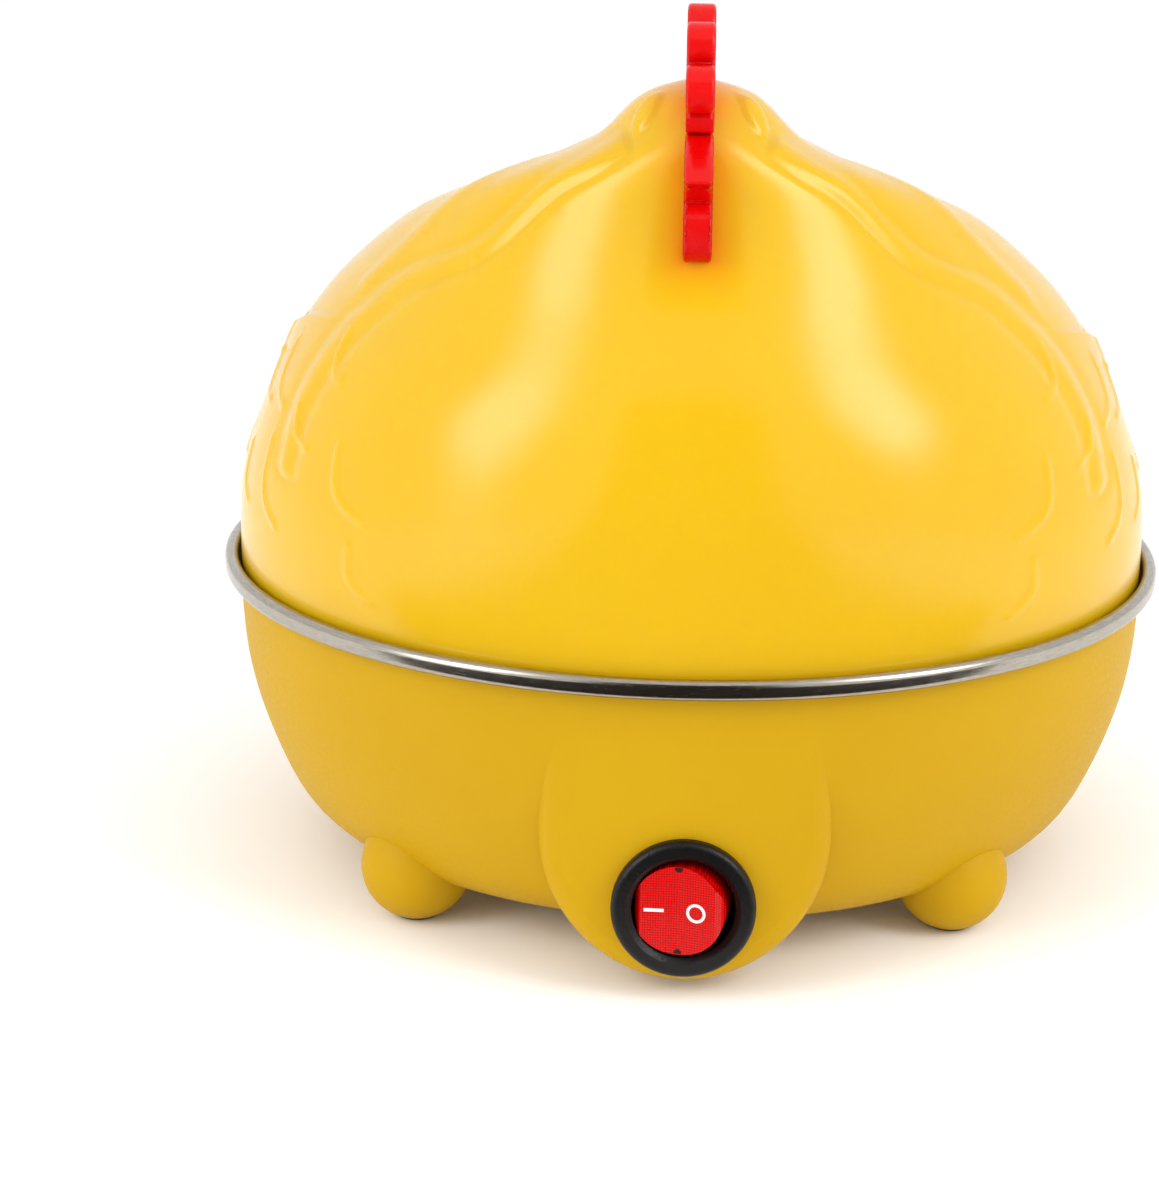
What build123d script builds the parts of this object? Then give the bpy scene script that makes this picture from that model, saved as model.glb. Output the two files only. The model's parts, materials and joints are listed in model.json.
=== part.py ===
"""Seven-egg steam cooker with a hen-shaped lid.

Millimetres, +Z up. The origin is on the bowl's axis, on the surface that the feet stand on.
The hen faces -Y: beak, comb, rocker switch and switch bulge are at the front, the tail at the back.
"""

import math
import os

from build123d import *

# ---------------------------------------------------------------- driving dimensions

rim_radius = 85.0          # outside of the bowl's rolled steel rim
rim_z = 53.4               # mid-height of the rolled rim
rim_width = 2.4            # radial width of the rolled rim
rim_height = 3.4           # height of the rolled rim
steel = 0.8                # thickness of the bowl's sheet
lid_seat_z = 52.6          # flange that the lid stands on
bowl_floor_z = 31.0        # inside of the bowl's floor
running_gap = 0.3          # free gap between pieces of different bodies

lid_wall = 2.0
trim_thickness = 4.4       # comb, beak and tail plates
trim_recess = 0.5          # depth of the recessed faces of those plates
trim_lip = 1.0             # width of the raised lip left around them

housing_top_radius = 82.0
housing_wall = 2.4

bulge_half_width = 25.2    # in the plane 8 mm ahead of the face; about 24 at the face
bulge_centre_z = 26.0      # centre of the bulge's round lower end
bulge_front_radius = 81.9  # the bulge's face lies on this cylinder about the bowl's axis

switch_z = 16.3            # axis of the round switch
bezel_radius = 11.65
bezel_front_y = -84.0
bezel_seat_y = -82.0
barrel_radius = 9.9
barrel_back_y = -66.0
well_radius = 8.35         # round well that the rocker moves in
rocker_radius = 7.5        # round outline of the key, seen from the front
rocker_swing = 8.0         # its left and right flanks lie on this radius about the pivot
rocker_tilt = 11.0         # degrees each side of the middle
rocker_vee = 8.0           # slope of each half of the key's shallow V face
pivot_y = -79.4
pivot_radius = 0.8
rocker_face_y = -83.7      # bottom of the V
well_floor_y = -73.0

foot_x, foot_y = 46.0, 48.5
foot_radius = 9.6
foot_flat_z = 0.5          # underside of the moulded foot, above the pad's underside
pad_radius = 3.6

tray_radius = 76.4
tray_top_z = 51.9
tray_thickness = 1.8
egg_ring_radius = 50.0
egg_hole_radius = 18.0
egg_cup_depth = 5.0

stud_radius = 2.5
stack_radius = 42.0        # heater stack under the bowl
strap_top_z = 20.5
strap_thickness = 1.5
thermostat_radius = 8.0
thermostat_y = 26.0        # distance of the thermostat ahead of the bowl's axis
strap_half_length = 62.0
strap_post_x = 56.0
post_radius = 4.5

gasket_inner, gasket_outer = 79.0, 80.9
gasket_height = 1.4
cover_radius = 52.0
cover_thickness = 1.6
cover_screw_radius = 47.0
base_bottom_z = 4.4
gland_z = 18.0
gland_bore = 3.4
gland_barrel = 5.0
gland_inner_y, gland_outer_y = 68.6, 78.4
terminal_y = 54.0
terminal_floor_z = 10.0
pilot_radius = 1.5         # screw holes in the moulded posts
pad_height = 1.6
lead_radius = 0.9
lead_bend = 1.8

os.makedirs("parts", exist_ok=True)


def save(shape, node):
    export_step(shape, f"parts/{node}.step")


# ---------------------------------------------------------------- small helpers

def tube(radius, start, end, inner=0.0):
    """Straight round bar, or a tube when inner is given, between two points."""
    a, b = Vector(*start), Vector(*end)
    plane = Plane(origin=a, z_dir=b - a)
    face = plane * Circle(radius)
    if inner:
        face = face - plane * Circle(inner)
    return extrude(face, amount=(b - a).length)


def pan_screw(x, y, z, length, up=True, thread=1.5, head=3.0):
    """Upright pan-head screw with a cross recess; z is the face that the head bears on."""
    away = 1 if up else -1
    height = 0.65 * head
    cap = tube(head, (x, y, z), (x, y, z + away * height))
    cap = fillet(cap.edges().group_by(Axis.Z)[-1 if up else 0], 0.4 * height)
    cross = Box(head, 0.25 * head, height) + Box(0.25 * head, head, height)
    return tube(thread, (x, y, z), (x, y, z - away * length)) + cap - Pos(x, y, z + away * height) * cross


def hex_nut(z_bottom, height, bore, width=8.0):
    nut = extrude(RegularPolygon(width / math.sqrt(3), 6) - Circle(bore), amount=height)
    return Pos(0, 0, z_bottom) * nut


# ---------------------------------------------------------------- lid

# Profile of the lid seen from the side, as (y, height above the rim) pairs, low to high.
# Each pair of a front and a back point is the two ends of one cross-section.
lid_front = [(-82.0, -0.5), (-82.1, 5), (-81.9, 12), (-81, 26), (-78, 40), (-73, 50), (-69, 57.5), (-66.5, 64.5),
             (-64.6, 71.5), (-63.4, 77.5), (-61.6, 82.5), (-58.5, 86.3), (-54, 89.4), (-50.5, 90.3)]
lid_back = [(82.0, -0.5), (81.5, 5.5), (80.4, 14), (77.6, 27), (71, 39.5), (62, 49.5), (49, 56), (30, 61.8),
            (8, 66), (-9, 70.5), (-21, 78), (-31, 84.3), (-40, 89.0), (-44.5, 90.2)]
lid_half_width = [82.0, 82.0, 81.6, 77.9, 71.7, 64.5, 57.5, 50.0, 41.6, 30.8, 17.6, 12.1, 6.4, 2.8]
lid_rear_swell = [0, 0, 0, 0, 0, 0.03, 0.05, 0.08, 0.10, 0.08, 0.05, 0, 0, 0]
section_points = 24        # points on each cross-section's oval
spline_steps = 10


def inset(points, distance, inward):
    """The same row of 2-D points moved sideways, square to the row; inward is +1 or -1."""
    moved = []
    for i, (a, b) in enumerate(points):
        a0, b0 = points[max(i - 1, 0)]
        a1, b1 = points[min(i + 1, len(points) - 1)]
        run = math.hypot(a1 - a0, b1 - b0)
        moved.append((a + inward * (b1 - b0) / run * distance, b - inward * (a1 - a0) / run * distance))
    return moved


def between(x, xs, ys):
    """Straight-line reading of ys at x."""
    for x0, x1, y0, y1 in zip(xs, xs[1:], ys, ys[1:]):
        if x <= x1:
            return y0 + (y1 - y0) * (x - x0) / (x1 - x0)
    return ys[-1]


def lid_form(front, back, half_width, swell):
    """Loft through oval sections that fan from level at the rim to steep at the head."""
    sections = []
    for (yf, zf), (yb, zb), width, k in zip(front, back, half_width, swell):
        along = Vector(0, yb - yf, zb - zf)
        plane = Plane(origin=(0, (yf + yb) / 2, rim_z + (zf + zb) / 2),
                      x_dir=(1, 0, 0), z_dir=Vector(1, 0, 0).cross(along))
        ring = []
        for i in range(section_points):
            u = math.tau * i / section_points
            ring.append((width * math.sin(u) * (1 + k * math.cos(u)), along.length / 2 * math.cos(u)))
        sections.append(plane * make_face(Spline(*ring, periodic=True)))
    return loft(sections)


def inner_lid_form():
    """The lid's hollow: every profile moved inwards by the wall, stopping under the head."""
    middle = [(f[1] + b[1]) / 2 for f, b in zip(lid_front, lid_back)]
    side = inset(list(zip(lid_half_width, middle)), lid_wall, -1)
    front = inset(lid_front, lid_wall, 1)[:-1]
    back = inset(lid_back, lid_wall, -1)[:-1]
    widths = []
    for (_, zf), (_, zb) in zip(front, back):
        widths.append(between((zf + zb) / 2, [z for _, z in side], [w for w, _ in side]))
    drop = 1.0
    front[0] = (front[0][0], front[0][1] - drop)
    back[0] = (back[0][0], back[0][1] - drop)
    return lid_form(front, back, widths, lid_rear_swell)


def redrawn(face):
    """The same face with every edge that isn't a line or an arc drawn again as a plain spline."""
    edges = []
    for edge in face.edges():
        if edge.geom_type in (GeomType.LINE, GeomType.CIRCLE):
            edges.append(edge)
        else:
            edges.append(Spline(*[edge @ (i / spline_steps) for i in range(spline_steps + 1)]))
    return Face(Wire(edges))


def side_plate(face):
    """Plate in the plane of symmetry with recessed faces and a raised lip around them."""
    plate = extrude(face, amount=trim_thickness / 2, both=True)
    pocket = extrude(redrawn(offset(face, amount=-trim_lip, kind=Kind.ARC)), amount=trim_recess)
    plate -= Pos(0, 0, trim_thickness / 2 - trim_recess) * pocket
    plate -= Pos(0, 0, -trim_thickness / 2) * pocket
    return Plane.YZ * plate


def slot_block(face):
    return Plane.YZ * extrude(face, amount=trim_thickness / 2, both=True)


def joined(*edges):
    """Flat face inside edges given end to end."""
    return Face(Wire([edge for part in edges for edge in part.edges()]))


def comb_face():
    """Four round lobes standing on a foot that sinks into the head."""
    foot = make_face(Polyline((-63.2, 139.5), (-62.5, 137), (-56, 138), (-48, 140.5), (-40.5, 139),
                              (-36.5, 148), (-49, 152), (-60, 149), close=True))
    lobes = [(-64.0, 144.0, 3.7), (-57.6, 149.8, 3.9), (-48.6, 151.9, 3.9), (-39.4, 148.6, 3.7)]
    for y, z, radius in lobes:
        foot += Pos(y, z) * Circle(radius)
    return foot


def beak_face():
    """Pointed beak with the rounded wattle hanging under it."""
    bill = Spline((-60, 137.2), (-66.5, 134.8), (-72.6, 130.7))
    under_bill = Spline((-72.6, 130.7), (-69.6, 129.2), (-66.9, 127.0))
    wattle = Spline((-66.9, 127.0), (-69.6, 122.6), (-68.6, 118.6), (-66.2, 117.6))
    inside = Polyline((-66.2, 117.6), (-61.5, 117.6), (-58, 131), (-60, 137.2))
    return joined(bill, under_bill, wattle, inside)


def tail_face():
    """Tail feathers: a curl that overhangs the back, and two more lobes down to the rim."""
    curl_top = Spline((47.0, 133.0), (43.0, 140.4), (34.5, 142.6), (24.5, 137.0), (17.4, 128.8), (18.2, 124.6))
    curl_under = Spline((18.2, 124.6), (28, 122.6), (36.0, 121.3), (40.0, 117.4), (40.6, 108.5))
    inside = Polyline((40.6, 108.5), (58, 99), (68, 88), (73.5, 80), (77.4, 80.4))
    low_lobe = Spline((77.4, 80.4), (82.4, 83.2), (86.3, 89), (87.1, 98), (83.6, 113.5), (76.6, 122.3),
                      (69.4, 119.2))
    middle_lobe = Spline((69.4, 119.2), (66.2, 127.0), (56.0, 135.8), (47.0, 133.0))
    return joined(curl_top, curl_under, inside, low_lobe, middle_lobe)


def tail_screw_places():
    """Points inside the lid under the tail, with the direction that each screw drives in."""
    return [((0, 51.6, 105.0), (0, 0.42, 0.91)), ((0, 71.0, 86.0), (0, 0.87, 0.49))]


def lid():
    """Shell with slots for the three red plates, a small steam vent, and the plates themselves."""
    faces = {"comb": comb_face(), "beak_and_wattle": beak_face(), "tail_handle": tail_face()}
    for node, face in faces.items():
        plate = side_plate(face) - inner_lid_form()
        if node == "tail_handle":
            plate -= Compound(tail_screws(shank_only=True))
        save(plate, node)
    shell = lid_form(lid_front, lid_back, lid_half_width, lid_rear_swell)
    for face in faces.values():
        shell -= slot_block(face)
    shell -= tube(1.5, (0, 26, rim_z + 50), (0, 26, rim_z + 66))
    shell -= inner_lid_form()
    save(shell, "lid_shell")
    save(Compound(tail_screws()), "tail_screws")


def tail_screws(shank_only=False):
    """Two self-tapping screws that hold the tail from inside the lid."""
    screws = []
    for place, way in tail_screw_places():
        start = Vector(*place)
        way = Vector(*way).normalized()
        shank = tube(1.5, start, start + way * 11)
        head = tube(2.9, start - way * 2.0, start)
        screws.append(shank if shank_only else shank + head)
    return screws


# ---------------------------------------------------------------- bowl and tray

def bowl():
    """Pressed steel bowl: rolled rim, flange for the lid, step for the tray, flat floor."""
    flange_in = 77.4
    tray_step = tray_top_z - tray_thickness - running_gap
    path = FilletPolyline((rim_radius - rim_width / 2, 0, lid_seat_z), (flange_in, 0, lid_seat_z),
                          (flange_in - 0.4, 0, tray_step), (72.0, 0, tray_step), (66.0, 0, bowl_floor_z),
                          (0, 0, bowl_floor_z), radius=1.2)
    sheet = make_face(offset(path, amount=steel, side=Side.RIGHT, kind=Kind.ARC).edges())
    body = revolve(sheet, axis=Axis.Z)
    bead_centre = (rim_radius - rim_width / 2, 0, rim_z)
    bead_plane = Plane(origin=bead_centre, x_dir=(1, 0, 0), z_dir=(0, -1, 0))
    bead_face = bead_plane * RectangleRounded(rim_width, rim_height, 1.15)
    body += revolve(bead_face, axis=Axis.Z)
    stud = tube(stud_radius, (0, 0, bowl_floor_z - steel), (0, 0, strap_top_z - 6.5))
    save(body, "heating_bowl")
    save(stud, "centre_stud")


def egg_tray():
    """Plate with one middle and six outer egg holes, each with a short cup, and the two lifting bails on it."""
    z0 = tray_top_z - tray_thickness
    plate = tube(tray_radius, (0, 0, z0), (0, 0, tray_top_z))
    rim = tube(tray_radius, (0, 0, tray_top_z), (0, 0, tray_top_z + 0.6), inner=tray_radius - 1.5)
    plate = plate + rim
    places = [(0.0, 0.0)] + [(egg_ring_radius * math.sin(math.radians(60 * i)),
                              egg_ring_radius * math.cos(math.radians(60 * i))) for i in range(6)]
    for x, y in places:
        cup = Pos(x, y, z0 - egg_cup_depth) * extrude(Circle(egg_hole_radius + 1.4), amount=egg_cup_depth)
        plate += cup
    for x, y in places:
        plate -= Pos(x, y, z0 - egg_cup_depth - 1) * extrude(Circle(egg_hole_radius), amount=12)
    for x, y in places:
        lead_in = Pos(x, y, tray_top_z - 0.4) * Cone(egg_hole_radius, egg_hole_radius + 0.8, 0.8)
        plate -= lead_in
    bails = []
    for side in (-1, 1):
        path = FilletPolyline((side * 70.5, -9, tray_top_z - 0.8), (side * 67.5, -9, tray_top_z + 17),
                              (side * 67.5, 9, tray_top_z + 17), (side * 70.5, 9, tray_top_z - 0.8), radius=4)
        start = Plane(origin=path @ 0, z_dir=path % 0)
        bails.append(sweep(start * Circle(1.6), path=path) - plate)
    save(Compound(bails), "tray_bails")
    save(plate, "egg_tray")


# ---------------------------------------------------------------- base housing

# Outside of the housing as (radius, z), from the top edge round to the flat underside.
housing_curve = [(housing_top_radius, lid_seat_z - steel), (81.8, 42), (80.7, 34), (78.5, 26), (75.4, 18),
                 (71.4, 11.2), (65.5, 7.0), (57, 5.0), (cover_radius + 3, base_bottom_z)]


def housing_form(depth):
    """Solid bowl form; depth moves the curved wall inwards and leaves the top open."""
    curve = inset(housing_curve, depth, 1)
    top = housing_curve[0][1] + (1 if depth else 0)
    (first, first_z), (last, last_z) = curve[0], curve[-1]
    wall = Spline(*[(r, 0, z) for r, z in curve])
    corners = [(last, 0, last_z), (0, 0, last_z), (0, 0, top), (first, 0, top)]
    if depth:
        corners.append((first, 0, first_z))
    return revolve(joined(wall, Polyline(*corners)), axis=Axis.Z)


def bulge_form(depth):
    """Bulge for the switch: a tongue shape with a round lower end, narrowing inwards."""
    ends = []
    for y, radius in ((-90, bulge_half_width - depth), (-52, bulge_half_width - 4 - depth)):
        top_z = 46 - depth
        left, right = (-radius, y, bulge_centre_z), (radius, y, bulge_centre_z)
        bottom = ThreePointArc(left, (0, y, bulge_centre_z - radius), right)
        sides = Polyline(right, (radius, y, top_z), (-radius, y, top_z), left)
        ends.append(joined(bottom, sides))
    return loft(ends, ruled=True) & Cylinder(bulge_front_radius - depth, 120)


def foot_form():
    """Moulded foot: a round bump with a flat underside."""
    ball = Pos(0, 0, foot_flat_z + foot_radius - 0.9) * Sphere(foot_radius)
    return ball & Pos(0, 0, foot_flat_z + 10) * Cylinder(20, 20)


def at_feet(shape):
    return [Pos(sx * foot_x, sy * foot_y, 0) * shape for sx in (-1, 1) for sy in (-1, 1)]


def cover_screw_places():
    return [(cover_screw_radius * math.sin(math.radians(a)), cover_screw_radius * math.cos(math.radians(a)))
            for a in (60, 180 + 35, 300)]


def terminal_screw_places():
    return [(-13.0, terminal_y), (13.0, terminal_y)]


def base_housing():
    """Moulded casing: bowl form, switch bulge, feet, posts for the strap and the bottom cover."""
    bulge = bulge_form(0)
    front_edges = [edge for edge in bulge.edges() if edge.center().Y < -74 and edge.bounding_box().min.Z < 44]
    body = housing_form(0) + fillet(front_edges, 4.5)
    for foot in at_feet(foot_form()):
        body += foot
    body -= housing_form(housing_wall)
    body -= bulge_form(housing_wall)
    groove = gasket_ring(gasket_outer + 0.1)
    body -= groove
    body += tube(cover_radius + 4, (0, 0, base_bottom_z), (0, 0, base_bottom_z + 3.6), inner=42)
    body -= tube(cover_radius + 0.2, (0, 0, base_bottom_z - 1), (0, 0, base_bottom_z + cover_thickness))
    body += tube(bezel_radius - 0.2, (0, bezel_seat_y, switch_z), (0, bezel_seat_y + 3.4, switch_z))
    body -= tube(barrel_radius + 0.1, (0, -90, switch_z), (0, -70, switch_z))
    body += tube(7.5, (0, gland_inner_y, gland_z), (0, gland_outer_y, gland_z))
    body -= tube(gland_barrel, (0, 60, gland_z), (0, 90, gland_z))
    for x in (-strap_post_x, strap_post_x):
        body += tube(post_radius, (x, 0, 6), (x, 0, strap_top_z - strap_thickness))
        body -= tube(pilot_radius, (x, 0, 10), (x, 0, strap_top_z))
    for x, y in cover_screw_places():
        body += tube(3.6, (x, y, base_bottom_z + cover_thickness), (x, y, 16))
        body -= tube(pilot_radius, (x, y, base_bottom_z), (x, y, 14))
    for x, y in terminal_screw_places():
        body += tube(3.0, (x, y, 5.5), (x, y, terminal_floor_z))
        body -= tube(pilot_radius, (x, y, 8), (x, y, terminal_floor_z + 1))
    for recess in at_feet(tube(pad_radius, (0, 0, -1), (0, 0, pad_height))):
        body -= recess
    save(body, "base_housing")


def gasket_ring(outer):
    top = lid_seat_z - steel
    return tube(outer, (0, 0, top - gasket_height), (0, 0, top), inner=gasket_inner)


def foot_pads():
    pad = tube(pad_radius, (0, 0, 0), (0, 0, pad_height))
    pad = fillet(pad.edges().group_by(Axis.Z)[0], 0.3)
    save(Compound(at_feet(pad)), "foot_pads")


def bottom_cover():
    """Round plate with cooling slots, screwed on from below."""
    cover = tube(cover_radius, (0, 0, base_bottom_z), (0, 0, base_bottom_z + cover_thickness))
    for i in range(-3, 4):
        slot = extrude(SlotOverall(44 - 4 * abs(i), 3), amount=20, both=True)
        cover -= Pos(0, 8 * i, 0) * slot
    screws = []
    for x, y in cover_screw_places():
        cover -= tube(1.7, (x, y, 0), (x, y, 10))
        screws.append(pan_screw(x, y, base_bottom_z, 9.0, up=False))
    save(cover, "bottom_cover")
    save(Compound(screws), "bottom_screws")


def cable_gland():
    """Rubber grommet in the back wall, with a flange each side of the seat."""
    y0, y1 = gland_inner_y, gland_outer_y
    body = tube(gland_barrel, (0, y0 - 1.6, gland_z), (0, y1 + 1.8, gland_z))
    body += tube(gland_barrel + 1.8, (0, y1, gland_z), (0, y1 + 1.8, gland_z))
    body += tube(gland_barrel + 1.2, (0, y0 - 1.6, gland_z), (0, y0, gland_z))
    body -= tube(gland_bore, (0, 60, gland_z), (0, 90, gland_z))
    save(body, "cable_gland")


# ---------------------------------------------------------------- heater stack under the bowl

def stack_ring(top, height, radius, hole=stud_radius + 0.3):
    return tube(radius, (0, 0, top - height), (0, 0, top), inner=hole)


def heater_stack():
    """Plates clamped under the bowl's floor by a nut on the stud, then the strap and its nut."""
    top = bowl_floor_z - steel
    save(stack_ring(top, 2.0, stack_radius), "heater_plate")
    top -= 2.0
    ring = stack_ring(top, 1.2, stack_radius - 2, hole=8)
    for side in (-1, 1):
        ring += Pos(side * 9, stack_radius - 1, top - 0.9) * Box(5, 8, 0.6)
    save(ring, "heating_element")
    top -= 1.2
    save(stack_ring(top, 0.8, stack_radius), "insulation_disc")
    top -= 0.8
    press = stack_ring(top, 1.2, stack_radius - 2)
    press -= tube(thermostat_radius + 0.4, (0, -thermostat_y, 0), (0, -thermostat_y, 40))
    save(press, "pressure_plate")
    top -= 1.2
    nuts = [hex_nut(top - 3.7, 3.7, stud_radius), hex_nut(strap_top_z - strap_thickness - 4.0, 4.0, stud_radius)]
    save(Compound(nuts), "centre_nuts")
    strap = extrude(SlotOverall(2 * strap_half_length, 12), amount=-strap_thickness)
    strap = Pos(0, 0, strap_top_z) * strap - tube(stud_radius + 0.3, (0, 0, 0), (0, 0, 30))
    screws = []
    for x in (-strap_post_x, strap_post_x):
        strap -= tube(1.8, (x, 0, 0), (x, 0, 30))
        screws.append(pan_screw(x, 0, strap_top_z, 9.0))
    save(strap, "support_strap")
    save(Compound(screws), "strap_screws")


def thermostat():
    """Disc thermostat whose cap bears on the insulation disc's hole, with a two-screw flange."""
    top = bowl_floor_z - steel - 4.0
    y = -thermostat_y
    cap = tube(thermostat_radius, (0, y, top - 4.0), (0, y, top))
    flange = extrude(SlotOverall(26, 7), amount=-0.8)
    body = tube(thermostat_radius + 0.5, (0, y, top - 10.5), (0, y, top - 4.8)) + cap
    body += Pos(0, y, top - 4.0) * flange
    for x in (-3.5, 3.5):
        body += Pos(x, y, top - 12.5) * Box(0.8, 6.0, 5.0)
    ring = Circle(thermostat_radius + 2.5) + SlotOverall(30, 9)
    bracket = Pos(0, y, top - 4.0) * extrude(ring, amount=1.0)
    bracket -= tube(thermostat_radius + 0.3, (0, y, 0), (0, y, 40))
    for x in (-10.7, 10.7):
        post = tube(2.2, (x, y, top - 3.0), (x, y, top - 1.2))
        bracket += post
        body -= tube(1.4, (x, y, 0), (x, y, top - 3.9))
        bracket -= tube(1.0, (x, y, 0), (x, y, top - 1.6))
    screws = [pan_screw(x, y, top - 4.8, 2.8, up=False, thread=1.0, head=1.9) for x in (-10.7, 10.7)]
    save(body, "thermostat")
    save(bracket, "thermostat_bracket")
    save(Compound(screws), "thermostat_screws")


def thermal_fuse():
    """One-shot fuse in a sleeve, held to the pressure plate by a bent clip."""
    z = bowl_floor_z - steel - 5.2 - 3.1
    sleeve = tube(2.2, (-9, 22, z), (9, 22, z), inner=1.5)
    fuse = tube(1.5, (-7, 22, z), (7, 22, z)) + tube(0.5, (-12, 22, z), (12, 22, z))
    clip = Pos(0, 22, 0) * (tube(3.0, (-2.5, 0, z), (2.5, 0, z), inner=2.3))
    clip += Pos(0, 22 + 5.0, z + 2.65) * Box(5, 9, 0.7)
    save(fuse, "thermal_fuse")
    save(sleeve, "fuse_sleeve")
    save(clip, "fuse_clip")


def terminal_block():
    """Two-pole screw block on two short posts inside the back of the housing."""
    x, y, z = 0, terminal_y, terminal_floor_z
    body = Pos(x, y, z + 5) * Box(34, 12, 10)
    body = fillet(body.edges().filter_by(Axis.Z), 1.5)
    screws = [pan_screw(sx, sy, z + 3.0, 5.0) for sx, sy in terminal_screw_places()]
    for sx, sy in terminal_screw_places():
        body -= tube(3.2, (sx, sy, z + 3.0), (sx, sy, z + 11))
        body -= tube(1.7, (sx, sy, z - 1), (sx, sy, z + 11))
    for side in (-1, 1):
        body -= tube(1.9, (side * 5, y - 7, z + 4), (side * 5, y + 7, z + 4))
        body -= tube(2.0, (side * 5, y, z + 5), (side * 5, y, z + 11))
        screws.append(tube(1.9, (side * 5, y, z + 6.2), (side * 5, y, z + 9)))
    save(body, "terminal_block")
    save(Compound(screws), "terminal_screws")


# ---------------------------------------------------------------- rocker switch

def switch_housing():
    """Round bezel with a sloped inner edge, barrel, and the well that the rocker moves in."""
    back = bezel_seat_y
    bezel = tube(bezel_radius, (0, back, switch_z), (0, bezel_front_y, switch_z))
    bezel = fillet(bezel.edges().group_by(Axis.Y)[0], 1.2)
    body = bezel + tube(barrel_radius, (0, back, switch_z), (0, barrel_back_y, switch_z))
    body -= tube(well_radius, (0, -90, switch_z), (0, well_floor_y, switch_z))
    mouth = Cone(well_radius, well_radius + 0.9, 0.9)
    body -= Plane(origin=(0, bezel_front_y + 0.45, switch_z), z_dir=(0, -1, 0)) * mouth
    for side in (-1, 1):
        body -= tube(pivot_radius + 0.05, (0, pivot_y, switch_z + side * 7), (0, pivot_y, switch_z + side * 12))
    for x in (-5.0, 0.0, 5.0):
        body -= Pos(x, barrel_back_y, switch_z) * Box(0.8, 6, 4.8)
    save(body, "switch_housing")
    blades = []
    for x in (-5.0, 0.0, 5.0):
        blade = Pos(x, barrel_back_y + 2.5, switch_z) * Box(0.8, 11, 4.8)
        blade -= tube(0.8, (x - 2, barrel_back_y + 5, switch_z), (x + 2, barrel_back_y + 5, switch_z))
        blades.append(blade)
    save(Compound(blades), "switch_terminals")


def rocker_pose(shape):
    """Tilt from the middle to the rest position: left side pressed in."""
    return shape.rotate(Axis((0, pivot_y, switch_z), (0, 0, 1)), -rocker_tilt)


def switch_rocker():
    """Round key with a shallow V face and curved flanks, hollow behind, on two stub pins."""
    back_y = pivot_y + 2.6
    key = tube(rocker_radius, (0, -88, switch_z), (0, back_y, switch_z))
    key &= tube(rocker_swing, (0, pivot_y, switch_z - 12), (0, pivot_y, switch_z + 12))
    rise = 12 * math.tan(math.radians(rocker_vee))
    for side in (-1, 1):
        corners = [(0, rocker_face_y, 0), (side * 12, rocker_face_y - rise, 0), (side * 12, -95, 0), (0, -95, 0)]
        key -= extrude(Face(Wire(Polyline(*corners, close=True).edges())), amount=60, both=True)
    key -= tube(rocker_radius - 1.5, (0, rocker_face_y + 1.5, switch_z), (0, -70, switch_z))
    for side in (-1, 1):
        key += tube(pivot_radius, (0, pivot_y, switch_z + side * (rocker_radius - 1.6)),
                    (0, pivot_y, switch_z + side * (barrel_radius - 0.4)))
    key += tube(2.2, (0, rocker_face_y + 1.0, switch_z), (0, back_y - 1.0, switch_z), inner=1.3)
    save(rocker_pose(key), "switch_rocker")
    plunger = tube(1.2, (0, back_y - 2.0, switch_z), (0, back_y + 1.2, switch_z))
    plunger += Pos(0, back_y + 1.5, switch_z) * Sphere(1.2)
    save(rocker_pose(plunger), "rocker_plunger")
    spring = Helix(pitch=0.7, height=2.0, radius=0.9, center=(0, 0, 0))
    wire = sweep(Plane(origin=spring @ 0, z_dir=spring % 0) * Circle(0.15), path=spring)
    save(rocker_pose(Plane(origin=(0, rocker_face_y + 2.6, switch_z), z_dir=(0, 1, 0)) * wire), "rocker_spring")
    lamp = tube(1.3, (-2.4, pivot_y, switch_z + 3.9), (2.4, pivot_y, switch_z + 3.9))
    save(rocker_pose(lamp), "indicator_lamp")


# ---------------------------------------------------------------- internal leads

def lead(node, *points):
    """Insulated wire along straight runs with rounded corners."""
    path = FilletPolyline(*points, radius=lead_bend)
    save(sweep(Plane(origin=path @ 0, z_dir=path % 0) * Circle(lead_radius), path=path), node)


def leads():
    """Live to the switch, on through thermostat and fuse to the element, and neutral back."""
    block_y, block_z = terminal_y - 6.1, terminal_floor_z + 4
    blade_y = barrel_back_y + 8.1
    stat_y, stat_z = -thermostat_y, bowl_floor_z - steel - 4.0 - 15.1
    low_z = stat_z - 2.4
    fuse_y, fuse_z = 22, bowl_floor_z - steel - 8.3
    tab_y, tab_z = 44.2, bowl_floor_z - steel - 3.3
    lead("lead_live", (5, block_y, block_z), (5, 40, block_z), (22, 24, 12), (22, stat_y, 12),
         (5, -48, switch_z), (5, blade_y, switch_z))
    lead("lead_switched", (-5, blade_y, switch_z), (-5, -50, switch_z), (3.5, -40, low_z),
         (3.5, stat_y, low_z), (3.5, stat_y, stat_z))
    lead("lead_thermostat", (-3.5, stat_y, stat_z), (-3.5, stat_y, low_z), (-3.5, -12, low_z), (-16, 10, 12),
         (-17, fuse_y, fuse_z), (-12.1, fuse_y, fuse_z))
    lead("lead_heater", (12.1, fuse_y, fuse_z), (17, fuse_y, fuse_z), (17, 36, fuse_z),
         (9, tab_y, fuse_z), (9, tab_y, tab_z))
    lead("lead_neutral", (-5, block_y, block_z), (-5, tab_y, block_z), (-9, tab_y, 19), (-9, tab_y, tab_z))


if __name__ == "__main__":
    lid()
    bowl()
    egg_tray()
    base_housing()
    save(gasket_ring(gasket_outer), "rim_gasket")
    foot_pads()
    bottom_cover()
    cable_gland()
    heater_stack()
    thermostat()
    thermal_fuse()
    terminal_block()
    switch_housing()
    switch_rocker()
    leads()
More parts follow.
